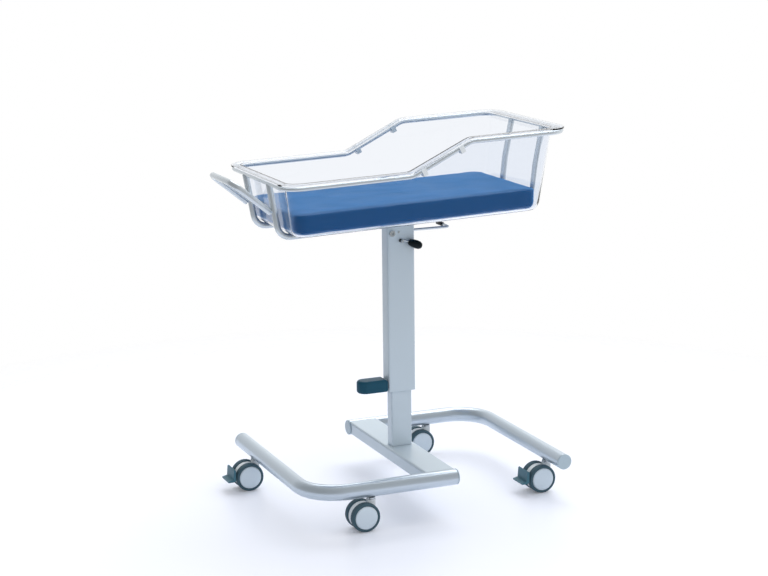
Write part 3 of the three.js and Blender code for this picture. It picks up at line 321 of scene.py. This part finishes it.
def round_edges(piece, width):
    """Welds, rounds the sharp edges and keeps large faces flat in the light."""
    weld = piece.modifiers.new("weld", "WELD")
    weld.merge_threshold = WELD_DISTANCE
    bevel = piece.modifiers.new("edge_rounding", "BEVEL")
    bevel.width = width
    bevel.segments = EDGE_SEGMENTS
    bevel.limit_method = "ANGLE"
    bevel.angle_limit = EDGE_ANGLE
    if piece.name not in BENT_TUBES:
        piece.modifiers.new("face_normals", "WEIGHTED_NORMAL")


def dress_hard_nodes():
    """Every hard node gets its finish and its edge rounding."""
    for finish, edge, names in DRESSED_NODES:
        for name in names:
            clear_split_normals(NODES[name])
            put_finish(NODES[name], finish)
            round_edges(NODES[name], edge)


def evaluated_mesh(piece):
    """The piece's mesh with its modifiers applied, as new data."""
    bpy.context.view_layer.update()
    graph = bpy.context.evaluated_depsgraph_get()
    return bpy.data.meshes.new_from_object(piece.evaluated_get(graph), depsgraph=graph)


def inset_copy(mesh, inset):
    """A copy of a closed mesh made smaller by an inset on every side."""
    smaller = mesh.copy()
    points = [vertex.co.copy() for vertex in smaller.vertices]
    lowest = Vector([min(p[i] for p in points) for i in range(3)])
    highest = Vector([max(p[i] for p in points) for i in range(3)])
    centre = (lowest + highest) / 2
    half = (highest - lowest) / 2
    scale = [(half[i] - inset) / half[i] for i in range(3)]
    for vertex, point in zip(smaller.vertices, points):
        vertex.co = Vector([centre[i] + (point[i] - centre[i]) * scale[i] for i in range(3)])
    return smaller


def remesh(piece, voxel):
    """Replaces the piece's mesh by an even one."""
    modifier = piece.modifiers.new("even_mesh", "REMESH")
    modifier.mode = "VOXEL"
    modifier.voxel_size = voxel
    mesh = evaluated_mesh(piece)
    piece.modifiers.clear()
    piece.data = mesh


def inflate(piece):
    """Swells the cover by simulated pressure and caps how far a point may move."""
    start = [vertex.co.copy() for vertex in piece.data.vertices]
    cloth = piece.modifiers.new("cover_cloth", "CLOTH")
    cloth.settings.quality = COVER_CLOTH_STEPS
    cloth.settings.mass = COVER_CLOTH_MASS
    cloth.settings.use_pressure = True
    cloth.settings.uniform_pressure_force = COVER_PRESSURE
    cloth.settings.effector_weights.gravity = 0.0
    cloth.collision_settings.use_collision = False
    cloth.point_cache.frame_start = 1
    cloth.point_cache.frame_end = COVER_FRAMES
    for step in range(1, COVER_FRAMES + 1):
        bpy.context.scene.frame_set(step)
    mesh = evaluated_mesh(piece)
    piece.modifiers.clear()
    bpy.context.scene.frame_set(1)
    for vertex, before in zip(mesh.vertices, start):
        move = vertex.co - before
        if move.length > COVER_MOST_MOVEMENT:
            vertex.co = before + move * (COVER_MOST_MOVEMENT / move.length)
    piece.data = mesh


def make_mattress():
    """The padded mattress: a coated cover swollen over its foam block."""
    pad = add_object("padded_mattress", inset_copy(NODES["mattress"].data, COVER_START_INSET))
    remesh(pad, COVER_VOXEL)
    inflate(pad)
    smooth = pad.modifiers.new("smooth_cover", "SUBSURF")
    smooth.levels = COVER_SUBDIVISION
    smooth.render_levels = COVER_SUBDIVISION
    put_finish(pad, "blue_vinyl")
    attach(pad, "basin")
    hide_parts("mattress")


def floor_material():
    """White studio floor: pale, with a soft shadow and a faint sheen, fading out at its rim."""
    material, tree, shader = plain_material(
        "white_studio_floor", "#E6EAF6", roughness=0.35, specular=0.25,
    )
    path = add_node(tree, "ShaderNodeLightPath")
    level = add_node(
        tree, "ShaderNodeMapRange", {"To Min": FLOOR_GLOW, "To Max": 0.0},
        {"Value": path.outputs["Is Diffuse Ray"]},
    )
    glow = add_node(tree, "ShaderNodeEmission", {}, {"Strength": level.outputs["Result"]})
    both = add_node(
        tree, "ShaderNodeAddShader", {},
        {0: shader.outputs["BSDF"], 1: glow.outputs["Emission"]},
    )
    place = add_node(tree, "ShaderNodeTexCoord")
    distance = add_node(
        tree, "ShaderNodeVectorMath", {"operation": "LENGTH"}, {0: place.outputs["Object"]},
    )
    fade = add_node(
        tree, "ShaderNodeMapRange", {"From Min": FLOOR_FADE_FROM, "From Max": FLOOR_RADIUS},
        {"Value": distance.outputs["Value"]},
    )
    clear = add_node(tree, "ShaderNodeBsdfTransparent")
    faded = add_node(
        tree, "ShaderNodeMixShader", {},
        {0: fade.outputs["Result"], 1: both.outputs["Shader"], 2: clear.outputs["BSDF"]},
    )
    tree.links.new(faded.outputs["Shader"], tree.nodes["Material Output"].inputs["Surface"])
    return material


def make_floor():
    """A round white floor under the casters."""
    turns = [2 * math.pi * i / FLOOR_SIDES for i in range(FLOOR_SIDES)]
    rim = [(FLOOR_RADIUS * math.cos(turn), FLOOR_RADIUS * math.sin(turn), 0.0) for turn in turns]
    mesh = bpy.data.meshes.new("studio_floor")
    mesh.from_pydata(rim, [], [tuple(range(FLOOR_SIDES))])
    mesh.materials.append(floor_material())
    floor = add_object("studio_floor", mesh)


def make_room():
    """A white sweep at eye level under a dimmer ceiling, calmer where it fills the shadows."""
    world = bpy.data.worlds.new("white_room")
    world.use_nodes = True
    bpy.context.scene.world = world
    tree = world.node_tree
    background = tree.nodes["Background"]
    background.inputs["Color"].default_value = linear("#FFFFFF")
    place = add_node(tree, "ShaderNodeTexCoord")
    parts = add_node(tree, "ShaderNodeSeparateXYZ", {}, {"Vector": place.outputs["Generated"]})
    levels = {}
    for axis, settings in ROOM_LEVELS.items():
        ramp = add_node(tree, "ShaderNodeMapRange", settings, {"Value": parts.outputs[axis]})
        levels[axis] = ramp.outputs["Result"]
    walls = add_node(
        tree, "ShaderNodeMath", {"operation": "MULTIPLY"}, {0: levels["X"], 1: levels["Y"]},
    )
    mirrored = add_node(
        tree, "ShaderNodeMath", {"operation": "MULTIPLY"},
        {0: levels["Z"], 1: walls.outputs["Value"]},
    )
    fill = add_node(
        tree, "ShaderNodeMath", {"operation": "MULTIPLY", 1: ROOM_FILL}, {0: levels["X"]},
    )
    path = add_node(tree, "ShaderNodeLightPath")
    lit = add_node(
        tree, "ShaderNodeMix", {},
        {
            "Factor": path.outputs["Is Diffuse Ray"],
            "A": mirrored.outputs["Value"],
            "B": fill.outputs["Value"],
        },
    )
    seen = add_node(
        tree, "ShaderNodeMath", {"operation": "MAXIMUM"},
        {0: path.outputs["Is Camera Ray"], 1: path.outputs["Is Transmission Ray"]},
    )
    level = add_node(
        tree, "ShaderNodeMath", {"operation": "MAXIMUM"},
        {0: lit.outputs["Result"], 1: seen.outputs["Value"]},
    )
    tree.links.new(level.outputs["Value"], background.inputs["Strength"])


def make_sun():
    """One broad overhead light from behind on the head side."""
    data = bpy.data.lights.new("overhead_light", "SUN")
    data.energy = SUN_STRENGTH
    data.angle = SUN_SPREAD
    lamp = add_object("overhead_light", data)
    lamp.rotation_euler = Vector(SUN_FROM).to_track_quat("Z", "Y").to_euler()


def make_camera():
    """The camera that took the photograph."""
    yaw, pitch, roll = (math.radians(a) for a in (CAMERA_YAW, CAMERA_PITCH, CAMERA_ROLL))
    level_ahead = Vector((math.sin(yaw), math.cos(yaw), 0.0))
    ahead = level_ahead * math.cos(pitch) - Vector((0.0, 0.0, math.sin(pitch)))
    level = Vector((math.cos(yaw), -math.sin(yaw), 0.0))
    above = level.cross(ahead)
    right = level * math.cos(roll) + above * math.sin(roll)
    up = above * math.cos(roll) - level * math.sin(roll)
    data = bpy.data.cameras.new("photo_camera")
    data.sensor_width = SENSOR_WIDTH
    data.lens = CAMERA_LENS
    camera = add_object("photo_camera", data)
    turn = Matrix((right, up, -ahead)).transposed()
    camera.matrix_world = Matrix.Translation(CAMERA_PLACE) @ turn.to_4x4()
    bpy.context.scene.camera = camera


dress_hard_nodes()
make_mattress()
make_floor()
make_room()
make_sun()
make_camera()
bpy.context.scene.view_settings.view_transform = "Standard"
